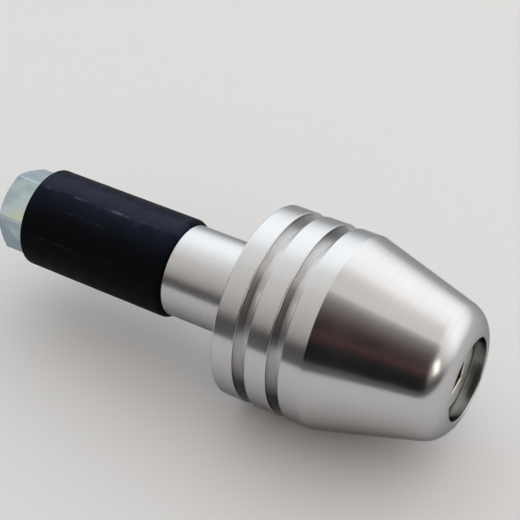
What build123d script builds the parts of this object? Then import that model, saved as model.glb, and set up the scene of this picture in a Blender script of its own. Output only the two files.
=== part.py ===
from build123d import *
from math import radians, tan
import os

# Handlebar end weight: a turned steel head and neck, a rubber expander sleeve, a hex nut
# behind the sleeve, and a socket cap screw that runs through all of them from the nose.
# X is the axis of the handlebar tube. X = 0 is the seat that meets the end of the tube,
# +X points out of the tube to the nose, and +Z is up. All sizes are in millimetres.

# Handlebar tube
BAR_BORE = 17.6
NECK_CLEARANCE = 0.98
SLEEVE_CLEARANCE = 0.27

# Head: three bands with two deep grooves between them, then a taper to a rounded nose.
# The floor of a groove rises a little towards the nose.
HEAD_DIAMETER = 32.2
BAND_WIDTH = 3.8
LAST_BAND_WIDTH = 3.7
GROOVE_COUNT = 2
GROOVE_WIDTH = 2.1
GROOVE_DEPTH = 2.8
GROOVE_FLOOR_RISE = 0.3
TAPER_LENGTH = 20.4
NOSE_WALL = 3.5
NOSE_ROUNDING = 5.0
RECESS_CHAMFER = 0.2
EDGE_BREAK = 0.25

# Neck, which stands in the tube
NECK_LENGTH = 14.9
NECK_END_CHAMFER = 0.35
SEAT_CORNER_RADIUS = 0.4

# Rubber expander sleeve
SLEEVE_LENGTH = 27.7
SLEEVE_NECK_ROUNDING = 1.0
SLEEVE_NUT_ROUNDING = 0.3

# Socket cap screw
THREAD_DIAMETER = 8.0
SCREW_HEAD_DIAMETER = 13.0
SCREW_HEAD_HEIGHT = 8.0
SCREW_HEAD_ROUNDING = 0.7
SCREW_HEAD_DEPTH = 2.1
UNDERHEAD_RADIUS = 0.4
SOCKET_ACROSS_FLATS = 6.0
SOCKET_DEPTH = 4.0
SOCKET_POINT_ANGLE = 120.0
SOCKET_CLOCKING = 12.0
TIP_LENGTH = 0.6
TIP_CHAMFER = 0.8

# Hex nut
NUT_ACROSS_FLATS = 13.0
NUT_HEIGHT = 6.0
NUT_FACE_INSET = 0.25
NUT_CHAMFER_ANGLE = 30.0
NUT_COUNTERSINK = 0.4
NUT_CLOCKING = 36.0

# Clearances around the screw
HEAD_CLEARANCE = 0.25
SHANK_CLEARANCE = 0.5
SLEEVE_BORE_CLEARANCE = 0.3
THREAD_CLEARANCE = 0.05

# Shared by all shapes
HEXAGON_SIDES = 6
SAME_POINT = 1e-6

# Radii that follow from the sizes above
head_radius = HEAD_DIAMETER / 2
groove_start_radius = head_radius - GROOVE_DEPTH
groove_end_radius = groove_start_radius + GROOVE_FLOOR_RISE
neck_radius = BAR_BORE / 2 - NECK_CLEARANCE
sleeve_radius = BAR_BORE / 2 - SLEEVE_CLEARANCE
shank_radius = THREAD_DIAMETER / 2
screw_head_radius = SCREW_HEAD_DIAMETER / 2
recess_radius = screw_head_radius + HEAD_CLEARANCE
nose_radius = recess_radius + NOSE_WALL
weight_bore_radius = shank_radius + SHANK_CLEARANCE
sleeve_bore_radius = shank_radius + SLEEVE_BORE_CLEARANCE
nut_bore_radius = shank_radius + THREAD_CLEARANCE

# Places along the axis
taper_start = GROOVE_COUNT * (BAND_WIDTH + GROOVE_WIDTH) + LAST_BAND_WIDTH
nose_face = taper_start + TAPER_LENGTH
screw_head_top = nose_face - SCREW_HEAD_DEPTH
screw_seat = screw_head_top - SCREW_HEAD_HEIGHT
neck_end = -NECK_LENGTH
sleeve_end = neck_end - SLEEVE_LENGTH
nut_end = sleeve_end - NUT_HEIGHT
screw_tip = nut_end - TIP_LENGTH

os.makedirs("parts", exist_ok=True)


def at_point(x, radius):
    """Selects a profile's corner by its place along the axis and its radius."""
    return lambda corner: abs(corner.X - x) + abs(corner.Y - radius) < SAME_POINT


def groove_starts():
    """Places along the axis where the grooves begin, from the seat to the nose."""
    return [BAND_WIDTH + i * (BAND_WIDTH + GROOVE_WIDTH) for i in range(GROOVE_COUNT)]


# Turned weight: neck and head in one piece, with a stepped hole for the screw
weight_outline = [(neck_end, 0), (neck_end, neck_radius), (0, neck_radius), (0, head_radius)]
rim_corners = [(0, head_radius)]
for start in groove_starts():
    end = start + GROOVE_WIDTH
    weight_outline += [(start, head_radius), (start, groove_start_radius)]
    weight_outline += [(end, groove_end_radius), (end, head_radius)]
    rim_corners += [(start, head_radius), (end, head_radius)]
weight_outline += [(taper_start, head_radius), (nose_face, nose_radius), (nose_face, 0)]

with BuildPart() as weight:
    with BuildSketch(Plane.XY) as weight_profile:
        with BuildLine():
            Polyline(*weight_outline, close=True)
        make_face()
        fillet(weight_profile.vertices().filter_by(at_point(nose_face, nose_radius)), NOSE_ROUNDING)
        fillet(weight_profile.vertices().filter_by(at_point(0, neck_radius)), SEAT_CORNER_RADIUS)
        chamfer(weight_profile.vertices().filter_by(at_point(neck_end, neck_radius)), NECK_END_CHAMFER)
        for rim in rim_corners:
            fillet(weight_profile.vertices().filter_by(at_point(*rim)), EDGE_BREAK)
    revolve(axis=Axis.X)
    with Locations(Plane(origin=(nose_face, 0, 0), z_dir=(1, 0, 0))):
        CounterBoreHole(
            radius=weight_bore_radius,
            counter_bore_radius=recess_radius,
            counter_bore_depth=nose_face - screw_seat,
        )
    recess_rim = weight.edges().filter_by(GeomType.CIRCLE).sort_by(Axis.X)[-1]
    chamfer(recess_rim, RECESS_CHAMFER)
weight.part.label = "weight"
export_step(weight.part, "parts/weight.step")

# Expander sleeve: a rubber tube between the neck's end and the nut
with BuildPart() as expander_sleeve:
    with BuildSketch(Plane.XY) as sleeve_profile:
        with BuildLine():
            Polyline(
                (sleeve_end, sleeve_bore_radius),
                (sleeve_end, sleeve_radius),
                (neck_end, sleeve_radius),
                (neck_end, sleeve_bore_radius),
                close=True,
            )
        make_face()
        for end, rounding in ((sleeve_end, SLEEVE_NUT_ROUNDING), (neck_end, SLEEVE_NECK_ROUNDING)):
            fillet(sleeve_profile.vertices().filter_by(at_point(end, sleeve_radius)), rounding)
    revolve(axis=Axis.X)
expander_sleeve.part.label = "expander_sleeve"
export_step(expander_sleeve.part, "parts/expander_sleeve.step")

# Hex nut: a prism whose corners are turned off to a cone at the outer face, plain against the sleeve
nut_face_radius = NUT_ACROSS_FLATS / 2 - NUT_FACE_INSET
turning_radius = NUT_ACROSS_FLATS
turning_drop = (turning_radius - nut_face_radius) * tan(radians(NUT_CHAMFER_ANGLE))

with BuildPart() as hex_nut:
    with BuildSketch(Plane.YZ.offset(nut_end)):
        RegularPolygon(NUT_ACROSS_FLATS / 2, HEXAGON_SIDES, major_radius=False, rotation=NUT_CLOCKING)
        Circle(nut_bore_radius, mode=Mode.SUBTRACT)
    extrude(amount=NUT_HEIGHT)
    for mouth in hex_nut.edges().filter_by(GeomType.CIRCLE):
        chamfer(mouth, NUT_COUNTERSINK)
    with BuildSketch(Plane.XY):
        with BuildLine():
            Polyline(
                (nut_end, nut_face_radius),
                (nut_end + turning_drop, turning_radius),
                (nut_end, turning_radius),
                close=True,
            )
        make_face()
    revolve(axis=Axis.X, mode=Mode.SUBTRACT)
hex_nut.part.label = "hex_nut"
export_step(hex_nut.part, "parts/hex_nut.step")

# Cap screw: round head with a hexagon socket, and a shank that ends in a chamfered tip
socket_floor = screw_head_top - SOCKET_DEPTH
socket_point_drop = SOCKET_ACROSS_FLATS / 2 / tan(radians(SOCKET_POINT_ANGLE / 2))

with BuildPart() as cap_screw:
    with BuildSketch(Plane.XY) as screw_profile:
        with BuildLine():
            Polyline(
                (screw_tip, 0),
                (screw_tip, shank_radius),
                (screw_seat, shank_radius),
                (screw_seat, screw_head_radius),
                (screw_head_top, screw_head_radius),
                (screw_head_top, 0),
                close=True,
            )
        make_face()
        chamfer(screw_profile.vertices().filter_by(at_point(screw_tip, shank_radius)), TIP_CHAMFER)
        fillet(screw_profile.vertices().filter_by(at_point(screw_seat, shank_radius)), UNDERHEAD_RADIUS)
        fillet(
            screw_profile.vertices().filter_by(at_point(screw_head_top, screw_head_radius)),
            SCREW_HEAD_ROUNDING,
        )
    revolve(axis=Axis.X)
    with BuildSketch(Plane.YZ.offset(screw_head_top)):
        RegularPolygon(SOCKET_ACROSS_FLATS / 2, HEXAGON_SIDES, major_radius=False, rotation=SOCKET_CLOCKING)
    extrude(amount=-SOCKET_DEPTH, mode=Mode.SUBTRACT)
    with BuildSketch(Plane.XY):
        with BuildLine():
            Polyline(
                (socket_floor, 0),
                (socket_floor, SOCKET_ACROSS_FLATS / 2),
                (socket_floor - socket_point_drop, 0),
                close=True,
            )
        make_face()
    revolve(axis=Axis.X, mode=Mode.SUBTRACT)
cap_screw.part.label = "cap_screw"
export_step(cap_screw.part, "parts/cap_screw.step")
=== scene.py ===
"""Looks of a handlebar end weight: meshes, materials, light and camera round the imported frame."""

import math

import bmesh
import bpy
from mathutils import Matrix, Vector, noise


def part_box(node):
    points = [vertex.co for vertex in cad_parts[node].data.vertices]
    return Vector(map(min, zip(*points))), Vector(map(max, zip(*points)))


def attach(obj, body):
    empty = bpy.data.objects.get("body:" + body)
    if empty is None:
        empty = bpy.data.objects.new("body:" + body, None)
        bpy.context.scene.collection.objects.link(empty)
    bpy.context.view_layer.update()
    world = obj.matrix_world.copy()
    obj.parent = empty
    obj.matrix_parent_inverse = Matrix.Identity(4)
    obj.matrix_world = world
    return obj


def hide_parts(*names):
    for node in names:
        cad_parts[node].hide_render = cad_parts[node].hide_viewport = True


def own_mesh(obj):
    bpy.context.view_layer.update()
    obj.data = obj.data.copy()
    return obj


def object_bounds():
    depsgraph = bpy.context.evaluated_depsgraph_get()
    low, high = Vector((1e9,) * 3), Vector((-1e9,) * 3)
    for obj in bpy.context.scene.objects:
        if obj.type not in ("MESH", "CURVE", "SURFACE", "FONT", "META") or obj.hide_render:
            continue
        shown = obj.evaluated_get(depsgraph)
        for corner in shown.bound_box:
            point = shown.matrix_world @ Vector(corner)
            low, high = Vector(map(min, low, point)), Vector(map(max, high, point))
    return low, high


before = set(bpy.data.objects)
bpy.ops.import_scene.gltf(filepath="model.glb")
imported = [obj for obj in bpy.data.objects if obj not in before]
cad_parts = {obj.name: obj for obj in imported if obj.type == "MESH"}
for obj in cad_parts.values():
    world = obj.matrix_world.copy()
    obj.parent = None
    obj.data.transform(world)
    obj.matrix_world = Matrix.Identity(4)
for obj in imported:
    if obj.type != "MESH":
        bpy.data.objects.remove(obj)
cad_low, cad_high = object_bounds()

# Places along the axis and radii that the frame gives, in metres
weight_low, weight_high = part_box("weight")
sleeve_low, sleeve_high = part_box("expander_sleeve")
nut_low, nut_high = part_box("hex_nut")
screw_low, screw_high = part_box("cap_screw")
neck_end = weight_low.x
head_radius = weight_high.z
sleeve_radius = sleeve_high.z
screw_tip = screw_low.x
screw_head_top = screw_high.x
screw_head_radius = screw_high.z

# Turned weight
NECK_RADIUS = 0.00782
NECK_END_CHAMFER = 0.00035
SEAT_CORNER_RADIUS = 0.0004
BAND_WIDTH = 0.0038
LAST_BAND_WIDTH = 0.0037
GROOVE_COUNT = 2
GROOVE_WIDTH = 0.0021
GROOVE_DEPTH = 0.0028
GROOVE_FLOOR_RISE = 0.0003
EDGE_BREAK = 0.00025
TAPER_LENGTH = 0.0204
NOSE_RADIUS = 0.01025
NOSE_ROUNDING = 0.005
RECESS_RADIUS = 0.00675
RECESS_CHAMFER = 0.0002
WEIGHT_BORE_RADIUS = 0.0045
WEIGHT_SEGMENTS = 384

# Rubber sleeve, whose mould lines are angles from the top
SLEEVE_BORE_RADIUS = 0.0043
SLEEVE_NECK_ROUNDING = 0.001
SLEEVE_NUT_ROUNDING = 0.0003
SLEEVE_SEGMENTS = 480
SLEEVE_ROWS = 70
SLEEVE_WAVINESS = 0.00003
SLEEVE_WAVE_SCALE = 160
SLEEVE_WAVE_INSET = 0.5
MOULD_LINES = (math.radians(12), math.radians(71.5))
MOULD_LINE_HEIGHT = 0.000015
MOULD_LINE_WIDTH = 0.00018

# Thread, whose crest and root each take one share of the pitch
THREAD_PITCH = 0.00125
THREAD_RADIUS = 0.004
THREAD_DEPTH = 0.00068
THREAD_FLAT_SHARE = 0.25
THREAD_ROWS_PER_TURN = 12
THREAD_CLEARANCE = 0.00005

# Cap screw
THREAD_LENGTH = 0.028
TIP_CHAMFER = 0.0008
SCREW_HEAD_HEIGHT = 0.008
SCREW_HEAD_ROUNDING = 0.0007
UNDERHEAD_RADIUS = 0.0004
SOCKET_APOTHEM = 0.003
SOCKET_DEPTH = 0.004
SOCKET_POINT_HALF_ANGLE = math.radians(60)
SOCKET_POINT_DROP = SOCKET_APOTHEM / math.tan(SOCKET_POINT_HALF_ANGLE)
SOCKET_POINT_REACH = 0.98
SOCKET_LIP = 0.00012
SOCKET_CLOCKING = math.radians(12)
KNURL_TEETH = 48
KNURL_DEPTH = 0.00018
SCREW_SEGMENTS = 288

# Hex nut
NUT_APOTHEM = 0.0065
NUT_FACE_RADIUS = 0.00625
NUT_CHAMFER = math.tan(math.radians(30))
NUT_BORE_RADIUS = 0.00405
NUT_COUNTERSINK = 0.0004
NUT_CORNER_RADIUS = 0.0003
NUT_CLOCKING = math.radians(36)
NUT_SEGMENTS = 288

# Shared mesh sizes
ARC_STEP = math.radians(9)
NOSE_STEP = math.radians(1.5)
SUPPORT = 0.00004
LONG_RUN = 4 * SUPPORT
SHARP_ANGLE = math.radians(32)
HEXAGON_HALF_SIDE = math.pi / 6

# Noise textures as (scale, detail), and the span that the values of a noise mostly keep to
TOOL_MARK_NOISE = (5200.0, 3.0)
SMUDGE_NOISE = (140.0, 4.0)
FILM_NOISE = (190.0, 2.0)
PLATING_NOISE = (700.0, 3.0)
PLATING_GRAIN_NOISE = (4200.0, 3.0)
DUST_AND_SHEEN_NOISE = (300.0, 5.0)
SCUFF_GRAIN_NOISE = (1.0, 4.0)
RUBBER_WEAR_NOISE = (500.0, 4.0)
PEBBLE_NOISE = (3200.0, 4.0)
NOISE_SPAN = (0.3, 0.7)

# Turned metal, with greys as (darkest, lightest). Painted light makes the groove floors far lighter than
# the bands, and the groove walls lighter than the bands but darker than the floors. Painted shade darkens
# the recess.
BAND_GREYS = ((0.53, 0.53, 0.535), (0.57, 0.57, 0.575))
RECESS_PAINTED_SHADE_GREYS = ((0.18, 0.195, 0.205), (0.38, 0.405, 0.405))
GROOVE_FLOOR_PAINTED_LIGHT_GREYS = ((0.92, 0.92, 0.925), (0.96, 0.96, 0.965))
GROOVE_WALL_PAINTED_LIGHT_GREYS = ((0.68, 0.68, 0.685), (0.72, 0.72, 0.725))
GROOVE_WALL_FACING = 0.9
GROOVE_FADE = 2 * EDGE_BREAK
EDGE_TINT = (0.5, 0.5, 0.5, 1.0)
TURNED_ROUGHNESS = (0.17, 0.22)
NECK_ROUGHER = 1.4
GROOVE_ROUGHER = 1.55
TURNED_ANISOTROPY = 0.6
QUARTER_TURN = 0.25
TOOL_MARK_SHARE = 0.6
SMUDGE_SHARE = 0.4
TOOL_MARK_STRENGTH = 0.08
TOOL_MARK_DEPTH = 0.000004

# Plating of nut and screw. On the nut the film drifts along the axis. Away from one flat it is colder,
# darker and bluer: partly the film's own tint, partly a painted reflection.
NUT_FILM = ((0.3, (0.28, 0.36, 0.40)), (0.5, (0.46, 0.55, 0.57)), (0.7, (0.51, 0.55, 0.45)))
NUT_FILM_DRIFT = (-0.03, 0.09)
NUT_STRAW_FLAT = math.radians(36)
NUT_COLD_FILM_AND_PAINTED_REFLECTION = (math.radians(26), math.radians(36), 0.0, 0.3)
NUT_ROUGHNESS = (0.22, 0.34)
SCREW_FILM = ((0.3, (0.56, 0.555, 0.52)), (0.7, (0.70, 0.67, 0.59)))
SCREW_ROUGHNESS = (0.36, 0.52)
# Painted shade: the screw's socket is painted near black below its lip
SOCKET_PAINTED_SHADE = (0.02, 0.02, 0.018, 1.0)
SOCKET_PAINTED_SHADE_DEPTH = 0.0005
SOCKET_PAINTED_SHADE_REACH = 1.2 * SOCKET_APOTHEM
PLATING_GRAIN_STRENGTH = 0.25
PLATING_GRAIN_DEPTH = 0.00001

# Dust and a painted sheen on the rubber, lighter and bluer on top, as colours from the top to the side
DUST_AND_SHEEN = (
    (0.0, (0.0170, 0.0215, 0.0390)),
    (0.12, (0.0150, 0.0190, 0.0340)),
    (0.18, (0.0055, 0.0080, 0.0170)),
    (0.27, (0.0040, 0.0058, 0.0140)),
    (0.50, (0.0018, 0.0025, 0.0040)),
    (1.0, (0.0014, 0.0021, 0.0034)),
)
DUST_AND_SHEEN_RAGGEDNESS = 0.09

# Scuffs on the rubber, as (angle from the top, start and end along the axis, strength)
SCUFFS = (
    (math.radians(13), -0.0416, -0.0382, 0.42),
    (math.radians(12.5), -0.0360, -0.0312, 0.32),
    (math.radians(12), -0.0296, -0.0240, 0.55),
    (math.radians(12), -0.0230, -0.0180, 0.15),
    (math.radians(34), -0.0390, -0.0225, 0.05),
    (math.radians(71.5), -0.0422, -0.0290, 0.07),
    (math.radians(70), -0.0280, -0.0235, 0.06),
)
SCUFF_WIDTH = 0.035
SCUFF_COLOUR = (0.16, 0.18, 0.22, 1.0)
SCUFF_STRETCH = (700.0, 2600.0, 2600.0)
SCUFF_GRAIN_SPAN = (0.42, 0.62)
RUBBER_SPECULAR = 0.05
RUBBER_ROUGHNESS = (0.56, 0.70)
PEBBLE_STRENGTH = 0.4
PEBBLE_DEPTH = 0.00003

# Sockets of a Mix node that mixes colours
MIX_FACTOR, MIX_FIRST, MIX_SECOND = 0, 6, 7
MIX_RESULT = 2

# Floor and table, in metres
FLOOR_SIZE = 24.0
FLOOR_COLOUR = (0.64, 0.64, 0.645, 1.0)
TABLE_EDGE = -0.12
TABLE_LIFT = 0.0002
TABLE_COLOUR = (0.10, 0.10, 0.105, 1.0)
MATT_ROUGHNESS = 0.9
MATT_SPECULAR = 0.1

# Tent of light, with colours over the sine of the height angle
TENT_RADIUS = 6.0
TENT_SEGMENTS = 48
TENT_RINGS = 32
TENT_FOOT = -0.01
TENT_FRONT = (
    (0.0, (0.11, 0.105, 0.105)),
    (0.15, (0.12, 0.115, 0.11)),
    (0.25, (0.32, 0.305, 0.29)),
    (0.33, (0.50, 0.48, 0.46)),
    (0.50, (0.68, 0.65, 0.62)),
    (0.76, (0.89, 0.86, 0.82)),
    (1.0, (1.02, 1.0, 0.98)),
)
TENT_BACK = (
    (0.0, (0.68, 0.71, 0.74)),
    (0.14, (1.16, 1.22, 1.25)),
    (0.41, (1.62, 1.70, 1.75)),
    (0.68, (1.64, 1.72, 1.77)),
    (0.87, (1.50, 1.55, 1.58)),
    (0.945, (1.06, 1.07, 1.07)),
    (1.0, (0.91, 0.90, 0.88)),
)
TENT_FRONT_TO_BACK = (-0.3 * TENT_RADIUS, 0.3 * TENT_RADIUS)
TENT_TINT = ((0.0, (1.0, 1.0, 1.0)), (1.0, (1.0, 0.94, 0.90)))
TENT_TINT_SPAN = (-0.4 * TENT_RADIUS, 0.2 * TENT_RADIUS)

# Dark card, with colours over the sine of the height angle
CARD_RADIUS = 0.6
CARD_SPAN = (-0.11, 0.42)
CARD_TOP = math.radians(80)
CARD_STEPS = 24
CARD_STOPS = (
    (0.0, (0.001, 0.003, 0.005)),
    (0.36, (0.002, 0.003, 0.005)),
    (0.44, (0.030, 0.009, 0.009)),
    (0.53, (0.075, 0.025, 0.024)),
    (0.66, (0.018, 0.005, 0.007)),
    (0.74, (0.030, 0.011, 0.013)),
    (0.84, (0.110, 0.064, 0.068)),
    (0.94, (0.26, 0.25, 0.24)),
    (1.0, (0.72, 0.70, 0.68)),
)

# Lamp and room
GLINT_PLACE = Vector((0.755, -0.46, 0.47))
GLINT_TARGET = Vector((0.033, 0, 0))
GLINT_SIZE = (0.26, 0.34)
GLINT_RADIANCE = 1.8
GLINT_COLOUR = (1.0, 0.96, 0.88)
ROOM_COLOUR = (1, 1, 1, 1)
ROOM_STRENGTH = 1.0

# Camera
CAMERA_PLACE = Vector((0.09061, -0.15164, 0.15420))
CAMERA_BACK = Vector((0.3977, -0.6607, 0.6367))
CAMERA_RIGHT = Vector((0.8568, 0.5158, 0.0))
CAMERA_ROLL = math.radians(-0.3)
CAMERA_LENS = 101.26
CAMERA_SENSOR = 36
CAMERA_CLIP = (0.01, 100)


def arc(centre, radius, start, end, step=ARC_STEP):
    """Points of an arc in the (x, r) plane between two angles from the x direction."""
    count = max(2, math.ceil(abs(end - start) / step)) + 1
    angles = [start + (end - start) * i / (count - 1) for i in range(count)]
    return [(centre[0] + radius * math.cos(a), centre[1] + radius * math.sin(a)) for a in angles]


def rounded(corners):
    """Points of a closed profile with corners (x, r, rounding)."""
    points = []
    for i, (x, r, rounding) in enumerate(corners):
        here = Vector((x, r))
        if rounding == 0:
            points.append((x, r))
            continue
        back = (Vector(corners[i - 1][:2]) - here).normalized()
        ahead = (Vector(corners[(i + 1) % len(corners)][:2]) - here).normalized()
        half = back.angle(ahead) / 2
        centre = here + (back + ahead).normalized() * rounding / math.sin(half)
        first = here + back * rounding / math.tan(half) - centre
        last = here + ahead * rounding / math.tan(half) - centre
        start = math.atan2(first.y, first.x)
        sweep = math.atan2(last.y, last.x) - start
        sweep = (sweep + math.pi) % (2 * math.pi) - math.pi
        points += arc(centre, rounding, start, start + sweep)
    return points


def supported(points):
    """The points of a closed profile with one more near each end of every long run, so flats stay flat."""
    made = []
    for i, point in enumerate(points):
        made.append(point)
        here, there = Vector(point), Vector(points[(i + 1) % len(points)])
        run = (there - here).length
        if run > LONG_RUN:
            step = (there - here) * SUPPORT / run
            made += [tuple(here + step), tuple(there - step)]
    return made


def finish_mesh(name, mesh_builder, body, node):
    """An object that stands for a node and rides on its body, smooth but for its sharp edges."""
    bmesh.ops.recalc_face_normals(mesh_builder, faces=mesh_builder.faces)
    mesh = bpy.data.meshes.new(name)
    mesh_builder.to_mesh(mesh)
    mesh_builder.free()
    mesh.shade_smooth()
    mesh.set_sharp_from_angle(angle=SHARP_ANGLE)
    made = bpy.data.objects.new(name, mesh)
    bpy.context.scene.collection.objects.link(made)
    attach(made, body)
    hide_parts(node)
    return made


def skin(rings, closed):
    """A mesh over rings of points, with a pole at each end where it isn't closed on itself."""
    made = bmesh.new()
    rows = [[made.verts.new(p) for p in ring] for ring in rings]
    count = len(rows[0])
    pairs = list(zip(rows, rows[1:]))
    if closed:
        pairs.append((rows[-1], rows[0]))
    for one, two in pairs:
        for k in range(count):
            following = (k + 1) % count
            made.faces.new((one[k], one[following], two[following], two[k]))
    if not closed:
        for row in (rows[0], rows[-1]):
            pole = made.verts.new(sum((v.co for v in row), Vector()) / count)
            for k in range(count):
                made.faces.new((row[k], row[(k + 1) % count], pole))
    return made


def ring_angles(count):
    """Angles round the axis, from +Y towards +Z."""
    return [2 * math.pi * k / count for k in range(count)]


def around(x, r, angle):
    """The point at a place along the axis, a radius and an angle round the axis."""
    return Vector((x, r * math.cos(angle), r * math.sin(angle)))


def weight_profile():
    """The turned section: neck, seat, banded head, taper, rounded nose, stepped hole."""
    taper_start = GROOVE_COUNT * (BAND_WIDTH + GROOVE_WIDTH) + LAST_BAND_WIDTH
    nose_face = taper_start + TAPER_LENGTH
    screw_seat = screw_head_top - SCREW_HEAD_HEIGHT
    corners = [
        (neck_end, WEIGHT_BORE_RADIUS, 0),
        (neck_end, NECK_RADIUS - NECK_END_CHAMFER, 0),
        (neck_end + NECK_END_CHAMFER, NECK_RADIUS, 0),
        (0, NECK_RADIUS, SEAT_CORNER_RADIUS),
        (0, head_radius, EDGE_BREAK),
    ]
    for i in range(GROOVE_COUNT):
        start = BAND_WIDTH + i * (BAND_WIDTH + GROOVE_WIDTH)
        end = start + GROOVE_WIDTH
        floor_radius = head_radius - GROOVE_DEPTH
        corners += [(start, head_radius, EDGE_BREAK), (start, floor_radius, 0)]
        corners += [(end, floor_radius + GROOVE_FLOOR_RISE, 0), (end, head_radius, EDGE_BREAK)]
    corners.append((taper_start, head_radius, 0))
    # The nose's arc runs from the taper to the chamfer of the recess
    taper_angle = math.atan((head_radius - NOSE_RADIUS) / TAPER_LENGTH)
    tangent = NOSE_ROUNDING * math.tan((math.pi / 2 - taper_angle) / 2)
    centre = (nose_face - NOSE_ROUNDING, NOSE_RADIUS - tangent)
    last = math.asin((RECESS_RADIUS + RECESS_CHAMFER - centre[1]) / NOSE_ROUNDING)
    corners += [(*p, 0) for p in arc(centre, NOSE_ROUNDING, math.pi / 2 - taper_angle, last, NOSE_STEP)]
    rim = centre[0] + math.sqrt(NOSE_ROUNDING ** 2 - (RECESS_RADIUS - centre[1]) ** 2)
    corners += [
        (rim - RECESS_CHAMFER, RECESS_RADIUS, 0),
        (screw_seat, RECESS_RADIUS, 0),
        (screw_seat, WEIGHT_BORE_RADIUS, 0),
    ]
    return supported(rounded(corners))


def make_weight():
    """The turned weight."""
    angles = ring_angles(WEIGHT_SEGMENTS)
    rings = [[around(x, r, a) for a in angles] for x, r in weight_profile()]
    return finish_mesh("turned_weight", skin(rings, True), "weight", "weight")


def sleeve_bump(x, angle):
    """How far the rubber's skin stands off its true radius: slow waves and two fine mould lines."""
    place = around(x, sleeve_radius, angle) * SLEEVE_WAVE_SCALE
    height = SLEEVE_WAVINESS * (noise.noise(place) - SLEEVE_WAVE_INSET)
    from_top = math.atan2(-math.cos(angle), math.sin(angle))
    for line in MOULD_LINES:
        away = sleeve_radius * abs((from_top - line + math.pi) % (2 * math.pi) - math.pi)
        height += MOULD_LINE_HEIGHT * math.exp(-(away / MOULD_LINE_WIDTH) ** 2)
    return height


def make_sleeve():
    """The rubber tube between the neck and the nut."""
    start, end = sleeve_low.x, sleeve_high.x
    corners = [
        (start, SLEEVE_BORE_RADIUS, 0),
        (start, sleeve_radius, SLEEVE_NUT_ROUNDING),
        (end, sleeve_radius, SLEEVE_NECK_ROUNDING),
        (end, SLEEVE_BORE_RADIUS, 0),
    ]
    profile = rounded(corners)
    # Rows along the outer wall, so that the waves show
    first = max(i for i, p in enumerate(profile) if p[0] < (start + end) / 2)
    low, high = profile[first][0], profile[first + 1][0]
    rows = [(low + (high - low) * i / SLEEVE_ROWS, sleeve_radius) for i in range(1, SLEEVE_ROWS)]
    profile = profile[: first + 1] + rows + profile[first + 1:]
    angles = ring_angles(SLEEVE_SEGMENTS)
    rings = []
    for x, r in profile:
        inside = min(1, (x - start) / SLEEVE_NUT_ROUNDING, (end - x) / SLEEVE_NECK_ROUNDING)
        share = inside if r > SLEEVE_BORE_RADIUS else 0
        rings.append([around(x, r + share * sleeve_bump(x, a), a) for a in angles])
    made = finish_mesh("rubber_sleeve", skin(rings, True), "weight", "expander_sleeve")
    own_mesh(made)
    return made


def hexagon(apothem, clocking, count, corner_radius):
    """(radius, angle) points of a hexagon with rounded corners, evenly spread round its axis."""
    half = HEXAGON_HALF_SIDE
    reach = (apothem - corner_radius) / math.cos(half)
    edge = math.atan2(corner_radius * math.sin(half), reach + corner_radius * math.cos(half))
    points = []
    for angle in ring_angles(count):
        # Measured from the nearest corner, the wall is the arc of the corner or a flat
        turn = (angle + half) % (2 * half) - half
        if abs(turn) < edge:
            chord = math.sqrt(corner_radius ** 2 - (reach * math.sin(turn)) ** 2)
            radius = reach * math.cos(turn) + chord
        else:
            radius = apothem / math.cos(half - abs(turn))
        points.append((radius, angle + clocking))
    return points


def thread_radius(x, angle, low, high):
    """Radius of a right-handed thread with flat crests and roots, between two radii."""
    phase = (x / THREAD_PITCH + angle / (2 * math.pi)) % 1
    rise = (abs(phase - 0.5) - THREAD_FLAT_SHARE / 2) / (0.5 - THREAD_FLAT_SHARE)
    return low + (high - low) * min(1, max(0, rise))


def make_nut():
    """The hex nut: corners turned off at the outer face, plain against the sleeve, threaded hole."""
    outline = hexagon(NUT_APOTHEM, NUT_CLOCKING, NUT_SEGMENTS, NUT_CORNER_RADIUS)
    angles = [a for _, a in outline]
    start, end = nut_low.x, nut_high.x
    mouth_radius = NUT_BORE_RADIUS + NUT_COUNTERSINK
    rings = []

    def circle(x, r):
        rings.append([around(x, r, a) for a in angles])

    def turned_wall(offset):
        ring = []
        for r, a in outline:
            depth = max(0, r - NUT_FACE_RADIUS) * NUT_CHAMFER
            ring.append(around(start + depth + offset, r, a))
        rings.append(ring)

    def plain_wall(x, inset):
        rings.append([around(x, r - inset, a) for r, a in outline])

    circle(start, mouth_radius)
    circle(start, NUT_FACE_RADIUS - SUPPORT)
    circle(start, NUT_FACE_RADIUS)
    turned_wall(0)
    turned_wall(SUPPORT)
    plain_wall(end - SUPPORT, 0)
    plain_wall(end, 0)
    plain_wall(end, SUPPORT)
    circle(end, mouth_radius)
    # Threaded hole, from the inner countersink back to the outer one
    rows = round((end - start) / THREAD_PITCH * THREAD_ROWS_PER_TURN)
    crest = THREAD_RADIUS - THREAD_DEPTH + THREAD_CLEARANCE
    root = THREAD_RADIUS + THREAD_CLEARANCE
    for i in range(1, rows):
        x = end + (start - end) * i / rows
        mouth = mouth_radius - min(x - start, end - x)
        rings.append([around(x, max(mouth, thread_radius(x, a, crest, root)), a) for a in angles])
    return finish_mesh("zinc_nut", skin(rings, True), "nut", "hex_nut")


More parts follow.
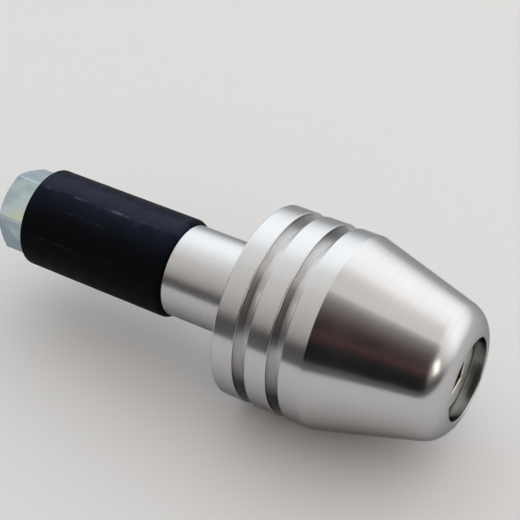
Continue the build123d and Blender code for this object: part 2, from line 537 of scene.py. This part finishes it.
def make_screw():
    """The cap screw: threaded shank, knurled head, hexagon socket with a drilled point."""
    seat = screw_head_top - SCREW_HEAD_HEIGHT
    thread_end = screw_tip + THREAD_LENGTH
    angles = ring_angles(SCREW_SEGMENTS)
    turned = [a + SOCKET_CLOCKING for a in angles]
    rings = []

    def circle(x, r):
        rings.append([around(x, r, a) for a in turned])

    def knurled(x, r, depth):
        ring = []
        for a in angles:
            tooth = (1 - math.cos(KNURL_TEETH * a)) / 2
            ring.append(around(x, r - depth * tooth, a + SOCKET_CLOCKING))
        rings.append(ring)

    # Threaded end, whose first turns run out in the tip's chamfer
    circle(screw_tip, THREAD_RADIUS - TIP_CHAMFER)
    rows = round(THREAD_LENGTH / THREAD_PITCH * THREAD_ROWS_PER_TURN)
    root = THREAD_RADIUS - THREAD_DEPTH
    for i in range(1, rows + 1):
        x = screw_tip + THREAD_LENGTH * i / rows
        tip = THREAD_RADIUS - TIP_CHAMFER + x - screw_tip
        run_out = max(0, 1 - (thread_end - x) / THREAD_PITCH)
        low = root + (THREAD_RADIUS - root) * run_out
        rings.append([around(x, min(tip, thread_radius(x, a, low, THREAD_RADIUS)), a) for a in turned])
    # Plain shank, fillet under the head, knurled side, rounded top edge
    circle(seat - UNDERHEAD_RADIUS, THREAD_RADIUS)
    fillet_centre = (seat - UNDERHEAD_RADIUS, THREAD_RADIUS + UNDERHEAD_RADIUS)
    for x, r in arc(fillet_centre, UNDERHEAD_RADIUS, -math.pi / 2, 0)[1:]:
        circle(x, r)
    circle(seat, screw_head_radius - 2 * KNURL_DEPTH)
    top_edge = (screw_head_top - SCREW_HEAD_ROUNDING, screw_head_radius - SCREW_HEAD_ROUNDING)
    knurled(seat + KNURL_DEPTH, screw_head_radius, KNURL_DEPTH)
    knurled(top_edge[0] - KNURL_DEPTH, screw_head_radius, KNURL_DEPTH)
    for x, r in arc(top_edge, SCREW_HEAD_ROUNDING, math.pi / 2, 0):
        circle(x, r)
    circle(screw_head_top, top_edge[1] - SUPPORT)
    # Hexagon socket
    mouth = hexagon(SOCKET_APOTHEM + SOCKET_LIP, SOCKET_CLOCKING, SCREW_SEGMENTS, SOCKET_LIP)
    walls = hexagon(SOCKET_APOTHEM, SOCKET_CLOCKING, SCREW_SEGMENTS, SOCKET_LIP)
    rings.append([around(screw_head_top, r, a) for r, a in mouth])
    rings.append([around(screw_head_top - SOCKET_LIP, r, a) for r, a in walls])
    floor_x = screw_head_top - SOCKET_DEPTH
    rings.append([around(floor_x, r, a) for r, a in walls])
    circle(floor_x, SOCKET_APOTHEM - SUPPORT)
    circle(floor_x - SOCKET_POINT_DROP * SOCKET_POINT_REACH, SOCKET_APOTHEM * (1 - SOCKET_POINT_REACH))
    return finish_mesh("socket_screw", skin(rings, False), "screw", "cap_screw")


def new_material(name, **constants):
    """A material with its tree and its shader, whose constants are set on the shader itself."""
    made = bpy.data.materials.new(name)
    made.use_nodes = True
    shader = made.node_tree.nodes["Principled BSDF"]
    for socket, value in constants.items():
        shader.inputs[socket.replace("_", " ")].default_value = value
    return made, made.node_tree, shader


def node(tree, kind, inputs=None, **settings):
    """A node with its settings, and with its inputs set or linked."""
    made = tree.nodes.new(kind)
    for key, value in settings.items():
        setattr(made, key, value)
    for socket, value in (inputs or {}).items():
        if isinstance(value, bpy.types.NodeSocket):
            tree.links.new(value, made.inputs[socket])
        else:
            made.inputs[socket].default_value = value
    return made


def math_node(tree, operation, *values):
    """The result of a Math node on sockets or numbers."""
    return node(tree, "ShaderNodeMath", dict(enumerate(values)), operation=operation).outputs[0]


def ramp(tree, factor, stops):
    """A colour ramp over stops (place, colour)."""
    made = node(tree, "ShaderNodeValToRGB", {"Fac": factor})
    elements = made.color_ramp.elements
    while len(elements) < len(stops):
        elements.new(1)
    for element, (place, colour) in zip(elements, stops):
        element.position = place
        element.color = (*colour, 1)
    return made.outputs["Color"]


def scaled(tree, factor, low, high, to_low, to_high):
    """A value moved from one range to another."""
    inputs = {"Value": factor, "From Min": low, "From Max": high, "To Min": to_low, "To Max": to_high}
    return node(tree, "ShaderNodeMapRange", inputs).outputs["Result"]


def mixed(tree, factor, first, second, blend="MIX"):
    """One colour where the factor is 0 and another, or their product, where it is 1."""
    inputs = {MIX_FACTOR: factor, MIX_FIRST: first, MIX_SECOND: second}
    return node(tree, "ShaderNodeMix", inputs, data_type="RGBA", blend_type=blend).outputs[MIX_RESULT]


def axis_coordinates(tree):
    """The object's own coordinates: point, place along the axis, radius, angle from the top."""
    point = node(tree, "ShaderNodeTexCoord").outputs["Object"]
    parts = node(tree, "ShaderNodeSeparateXYZ", {"Vector": point}).outputs
    across = node(tree, "ShaderNodeCombineXYZ", {"Y": parts["Y"], "Z": parts["Z"]}).outputs["Vector"]
    radius = node(tree, "ShaderNodeVectorMath", {0: across}, operation="LENGTH").outputs["Value"]
    front = math_node(tree, "MULTIPLY", parts["Y"], -1.0)
    angle = math_node(tree, "ARCTAN2", front, parts["Z"])
    return point, parts["X"], radius, angle


def noise_node(tree, point, scale, detail):
    """The value of a noise texture in space."""
    inputs = {"Vector": point, "Scale": scale, "Detail": detail}
    return node(tree, "ShaderNodeTexNoise", inputs).outputs["Fac"]


def tool_marks(tree, x, radius, scale, detail):
    """Noise that is the same all round the axis, as a lathe tool leaves it."""
    along = math_node(tree, "ADD", x, radius)
    inputs = {"W": along, "Scale": scale, "Detail": detail}
    return node(tree, "ShaderNodeTexNoise", inputs, noise_dimensions="1D").outputs["Fac"]


def add_bump(tree, shader, height, strength, depth):
    """Gives the shader a fine relief."""
    inputs = {"Height": height, "Strength": strength, "Distance": depth}
    bump = node(tree, "ShaderNodeBump", inputs)
    tree.links.new(bump.outputs["Normal"], shader.inputs["Normal"])


def groove_mask(tree, x, radius):
    """1 in the grooves and 0 on the bands."""
    rim = head_radius - EDGE_BREAK
    below = scaled(tree, radius, rim - GROOVE_FADE, rim, 1.0, 0.0)
    ahead = math_node(tree, "GREATER_THAN", x, BAND_WIDTH / 2)
    behind = math_node(tree, "LESS_THAN", x, GROOVE_COUNT * (BAND_WIDTH + GROOVE_WIDTH))
    return math_node(tree, "MULTIPLY", below, math_node(tree, "MULTIPLY", ahead, behind))


def wall_mask(tree):
    """1 where the surface faces along the axis and 0 elsewhere."""
    normal = node(tree, "ShaderNodeNewGeometry").outputs["Normal"]
    along_axis = node(tree, "ShaderNodeSeparateXYZ", {"Vector": normal}).outputs["X"]
    return math_node(tree, "GREATER_THAN", math_node(tree, "ABSOLUTE", along_axis), GROOVE_WALL_FACING)


def turned_metal():
    """Turned bright metal: rings of tool marks, faint smudges, a highlight stretched across the marks."""
    made, tree, shader = new_material(
        "turned_steel",
        Metallic=1.0,
        Specular_Tint=EDGE_TINT,
        Anisotropic=TURNED_ANISOTROPY,
        Anisotropic_Rotation=QUARTER_TURN,
    )
    point, x, radius, _ = axis_coordinates(tree)
    marks = tool_marks(tree, x, radius, *TOOL_MARK_NOISE)
    smudges = noise_node(tree, point, *SMUDGE_NOISE)
    marks_part = math_node(tree, "MULTIPLY", marks, TOOL_MARK_SHARE)
    smudges_part = math_node(tree, "MULTIPLY", smudges, SMUDGE_SHARE)
    tint = math_node(tree, "ADD", marks_part, smudges_part)

    def greys(pair):
        return ramp(tree, tint, tuple(zip(NOISE_SPAN, pair)))

    # Painted light lightens the groove floors far above the bands and the walls less; painted shade
    # darkens the recess
    in_groove = groove_mask(tree, x, radius)
    in_recess = scaled(tree, radius, RECESS_RADIUS, RECESS_RADIUS + RECESS_CHAMFER, 1.0, 0.0)
    groove = mixed(tree, wall_mask(tree), greys(GROOVE_FLOOR_PAINTED_LIGHT_GREYS), greys(GROOVE_WALL_PAINTED_LIGHT_GREYS))
    outside = mixed(tree, in_groove, greys(BAND_GREYS), groove)
    colour = mixed(tree, in_recess, outside, greys(RECESS_PAINTED_SHADE_GREYS))
    tree.links.new(colour, shader.inputs["Base Color"])
    on_neck = scaled(tree, x, -EDGE_BREAK, 0.0, NECK_ROUGHER, 1.0)
    cut = scaled(tree, in_groove, 0.0, 1.0, 1.0, GROOVE_ROUGHER)
    rougher = math_node(tree, "MULTIPLY", on_neck, cut)
    plain = scaled(tree, smudges, *NOISE_SPAN, *TURNED_ROUGHNESS)
    tree.links.new(math_node(tree, "MULTIPLY", plain, rougher), shader.inputs["Roughness"])
    add_bump(tree, shader, marks, TOOL_MARK_STRENGTH, TOOL_MARK_DEPTH)
    tangent = node(tree, "ShaderNodeTangent", direction_type="RADIAL", axis="X")
    tree.links.new(tangent.outputs["Tangent"], shader.inputs["Tangent"])
    return made


def zinc_plated(name, roughness):
    """Grained zinc plating, as yet without its colour: material, tree, shader and coordinates."""
    made, tree, shader = new_material(name, Metallic=1.0)
    coordinates = axis_coordinates(tree)
    point = coordinates[0]
    worn = noise_node(tree, point, *PLATING_NOISE)
    tree.links.new(scaled(tree, worn, *NOISE_SPAN, *roughness), shader.inputs["Roughness"])
    grain = noise_node(tree, point, *PLATING_GRAIN_NOISE)
    add_bump(tree, shader, grain, PLATING_GRAIN_STRENGTH, PLATING_GRAIN_DEPTH)
    return made, tree, shader, coordinates


def nut_metal():
    """The nut's plating: a passivated film that drifts from blue to straw, with a painted reflection,
    darker and bluer, on the flats away from the straw one.
    """
    made, tree, shader, (point, x, _, angle) = zinc_plated("zinc_plate", NUT_ROUGHNESS)
    film = noise_node(tree, point, *FILM_NOISE)
    film = math_node(tree, "ADD", film, scaled(tree, x, nut_low.x, nut_high.x, *NUT_FILM_DRIFT))
    # Away from the straw flat the film is pushed colder: partly its own tint, partly a painted reflection
    away = math_node(tree, "ABSOLUTE", math_node(tree, "SUBTRACT", angle, NUT_STRAW_FLAT))
    film = math_node(tree, "SUBTRACT", film, scaled(tree, away, *NUT_COLD_FILM_AND_PAINTED_REFLECTION))
    tree.links.new(ramp(tree, film, NUT_FILM), shader.inputs["Base Color"])
    return made


def screw_metal():
    """The screw's plating: a warm film, and painted shade, near black, inside the socket."""
    made, tree, shader, (point, x, radius, _) = zinc_plated("screw_steel", SCREW_ROUGHNESS)
    film = ramp(tree, noise_node(tree, point, *FILM_NOISE), SCREW_FILM)
    # Painted shade: the socket below its lip is painted near black
    painted_shade_top = screw_head_top - SOCKET_LIP
    deep = scaled(tree, x, screw_head_top - SOCKET_PAINTED_SHADE_DEPTH, painted_shade_top, 1.0, 0.0)
    narrow = math_node(tree, "LESS_THAN", radius, SOCKET_PAINTED_SHADE_REACH)
    ahead = math_node(tree, "GREATER_THAN", x, screw_head_top - 2 * SOCKET_DEPTH)
    in_socket = math_node(tree, "MULTIPLY", deep, math_node(tree, "MULTIPLY", narrow, ahead))
    tree.links.new(mixed(tree, in_socket, film, SOCKET_PAINTED_SHADE), shader.inputs["Base Color"])
    return made


def dust_and_sheen_colour(tree, point, angle):
    """Dust and a painted sheen on the rubber's upper side, lighter and bluer on top, with a ragged edge.
    """
    smudges = noise_node(tree, point, *DUST_AND_SHEEN_NOISE)
    ragged = scaled(tree, smudges, *NOISE_SPAN, -DUST_AND_SHEEN_RAGGEDNESS, DUST_AND_SHEEN_RAGGEDNESS)
    from_top = math_node(tree, "ADD", math_node(tree, "ABSOLUTE", angle), ragged)
    # Lighter and bluer towards the top: dust and a painted sheen
    return ramp(tree, scaled(tree, from_top, 0.0, math.pi / 2, 0.0, 1.0), DUST_AND_SHEEN)


def scuff_mask(tree, point, x, angle):
    """Short dashes along the rubber, broken by a fine grain."""
    stretch = node(tree, "ShaderNodeMapping", {"Vector": point, "Scale": SCUFF_STRETCH})
    grain = noise_node(tree, stretch.outputs["Vector"], *SCUFF_GRAIN_NOISE)
    marks = 0.0
    for line, start, end, strength in SCUFFS:
        away = math_node(tree, "ABSOLUTE", math_node(tree, "SUBTRACT", angle, line))
        across = scaled(tree, away, 0.0, SCUFF_WIDTH, strength, 0.0)
        middle, half = (start + end) / 2, (end - start) / 2
        along = math_node(tree, "ABSOLUTE", math_node(tree, "SUBTRACT", x, middle))
        dash = math_node(tree, "MULTIPLY", across, scaled(tree, along, half / 2, half, 1.0, 0.0))
        marks = math_node(tree, "MAXIMUM", marks, dash)
    return math_node(tree, "MULTIPLY", marks, scaled(tree, grain, *SCUFF_GRAIN_SPAN, 0.0, 1.0))


def rubber_material():
    """Black moulded rubber: a dusty top with a painted sheen, pale scuffs, a fine pebbled skin."""
    made, tree, shader = new_material("black_rubber", Specular_IOR_Level=RUBBER_SPECULAR)
    point, x, _, angle = axis_coordinates(tree)
    scuffs = scuff_mask(tree, point, x, angle)
    # The base colour holds dust and a painted sheen on top, and the pale scuffs
    colour = mixed(tree, scuffs, dust_and_sheen_colour(tree, point, angle), SCUFF_COLOUR)
    tree.links.new(colour, shader.inputs["Base Color"])
    worn = noise_node(tree, point, *RUBBER_WEAR_NOISE)
    tree.links.new(scaled(tree, worn, *NOISE_SPAN, *RUBBER_ROUGHNESS), shader.inputs["Roughness"])
    add_bump(tree, shader, noise_node(tree, point, *PEBBLE_NOISE), PEBBLE_STRENGTH, PEBBLE_DEPTH)
    return made


def plain_mesh(name, builder, material):
    """A stage object: floor, table, tent or card."""
    mesh = bpy.data.meshes.new(name)
    builder.to_mesh(mesh)
    builder.free()
    mesh.materials.append(material)
    made = bpy.data.objects.new(name, mesh)
    bpy.context.scene.collection.objects.link(made)
    return made


def only_reflected(stage_piece):
    """Leaves a stage object to reflections: it is not in the picture and shades nothing."""
    stage_piece.visible_camera = False
    stage_piece.visible_diffuse = False
    stage_piece.visible_shadow = False


def matt_material(name, colour):
    """A plain matt surface of the stage."""
    constants = {"Roughness": MATT_ROUGHNESS, "Specular_IOR_Level": MATT_SPECULAR}
    made, _, _ = new_material(name, Base_Color=colour, **constants)
    return made


def glow_material(name):
    """An emission material without its colour, with its tree, its own coordinates and its light node."""
    made = bpy.data.materials.new(name)
    made.use_nodes = True
    tree = made.node_tree
    tree.nodes.remove(tree.nodes["Principled BSDF"])
    light = node(tree, "ShaderNodeEmission", {"Strength": 1.0})
    tree.links.new(light.outputs["Emission"], tree.nodes["Material Output"].inputs["Surface"])
    point = node(tree, "ShaderNodeTexCoord").outputs["Object"]
    return made, tree, node(tree, "ShaderNodeSeparateXYZ", {"Vector": point}).outputs, light


def make_floor():
    """The plain pale floor."""
    floor = bmesh.new()
    bmesh.ops.create_grid(floor, x_segments=1, y_segments=1, size=FLOOR_SIZE / 2)
    bmesh.ops.translate(floor, verts=floor.verts, vec=(0, 0, cad_low.z))
    plain_mesh("floor", floor, matt_material("pale_floor", FLOOR_COLOUR))


def make_table():
    """A dark table in front of the picture, which shows only in the metal."""
    table = bmesh.new()
    x, y0, y1, z = TENT_RADIUS, -TENT_RADIUS, TABLE_EDGE, cad_low.z + TABLE_LIFT
    table.faces.new([table.verts.new(p) for p in ((-x, y0, z), (x, y0, z), (x, y1, z), (-x, y1, z))])
    only_reflected(plain_mesh("dark_table", table, matt_material("dark_table", TABLE_COLOUR)))


def make_tent():
    """A tent of soft light: dim low down in front, bright behind."""
    material, tree, place, light = glow_material("tent_glow")
    height = scaled(tree, place["Z"], 0.0, TENT_RADIUS, 0.0, 1.0)
    side = scaled(tree, place["Y"], *TENT_FRONT_TO_BACK, 0.0, 1.0)
    colour = mixed(tree, side, ramp(tree, height, TENT_FRONT), ramp(tree, height, TENT_BACK))
    tint = ramp(tree, scaled(tree, place["X"], *TENT_TINT_SPAN, 0.0, 1.0), TENT_TINT)
    tree.links.new(mixed(tree, 1.0, colour, tint, "MULTIPLY"), light.inputs["Color"])
    tent = bmesh.new()
    bmesh.ops.create_uvsphere(tent, u_segments=TENT_SEGMENTS, v_segments=TENT_RINGS, radius=TENT_RADIUS)
    below = [v for v in tent.verts if v.co.z < TENT_FOOT]
    bmesh.ops.delete(tent, geom=below, context="VERTS")
    plain_mesh("light_tent", tent, material).visible_camera = False


def make_card():
    """A dark curved card in front of the object and out of the picture, which shows only in the metal."""
    material, tree, place, light = glow_material("card_glow")
    height = scaled(tree, place["Z"], 0.0, CARD_RADIUS, 0.0, 1.0)
    tree.links.new(ramp(tree, height, CARD_STOPS), light.inputs["Color"])
    card = bmesh.new()
    rows = []
    for i in range(CARD_STEPS + 1):
        angle = CARD_TOP * i / CARD_STEPS
        y, z = -CARD_RADIUS * math.cos(angle), CARD_RADIUS * math.sin(angle)
        rows.append([card.verts.new((x, y, z)) for x in CARD_SPAN])
    for one, two in zip(rows, rows[1:]):
        card.faces.new((one[0], one[1], two[1], two[0]))
    only_reflected(plain_mesh("dark_card", card, material))


def make_lamp():
    """A rectangular lamp whose glint shows on the nose."""
    light = bpy.data.lights.new("glint_lamp", "AREA")
    light.shape = "RECTANGLE"
    width, height = GLINT_SIZE
    light.size = width
    light.size_y = height
    light.energy = GLINT_RADIANCE * math.pi * width * height
    light.color = GLINT_COLOUR
    made = bpy.data.objects.new("glint_lamp", light)
    made.location = GLINT_PLACE
    made.rotation_euler = (GLINT_TARGET - GLINT_PLACE).to_track_quat("-Z", "Y").to_euler()
    bpy.context.scene.collection.objects.link(made)


def make_room():
    """A white room beyond the tent."""
    world = bpy.data.worlds.new("white_room")
    world.use_nodes = True
    background = world.node_tree.nodes["Background"]
    background.inputs["Color"].default_value = ROOM_COLOUR
    background.inputs["Strength"].default_value = ROOM_STRENGTH
    bpy.context.scene.world = world


def make_camera():
    """The camera at the photograph's viewing angle."""
    back = CAMERA_BACK.normalized()
    right = (CAMERA_RIGHT - back * CAMERA_RIGHT.dot(back)).normalized()
    right = Matrix.Rotation(CAMERA_ROLL, 3, back) @ right
    up = back.cross(right)
    data = bpy.data.cameras.new("camera")
    data.sensor_width = CAMERA_SENSOR
    data.lens = CAMERA_LENS
    data.clip_start, data.clip_end = CAMERA_CLIP
    made = bpy.data.objects.new("camera", data)
    rotation = Matrix((right, up, back)).transposed().to_4x4()
    made.matrix_world = Matrix.Translation(CAMERA_PLACE) @ rotation
    bpy.context.scene.collection.objects.link(made)
    bpy.context.scene.camera = made


make_weight().data.materials.append(turned_metal())
make_sleeve().data.materials.append(rubber_material())
make_nut().data.materials.append(nut_metal())
make_screw().data.materials.append(screw_metal())
make_floor()
make_table()
make_tent()
make_card()
make_lamp()
make_room()
make_camera()
bpy.context.scene.view_settings.view_transform = "Standard"
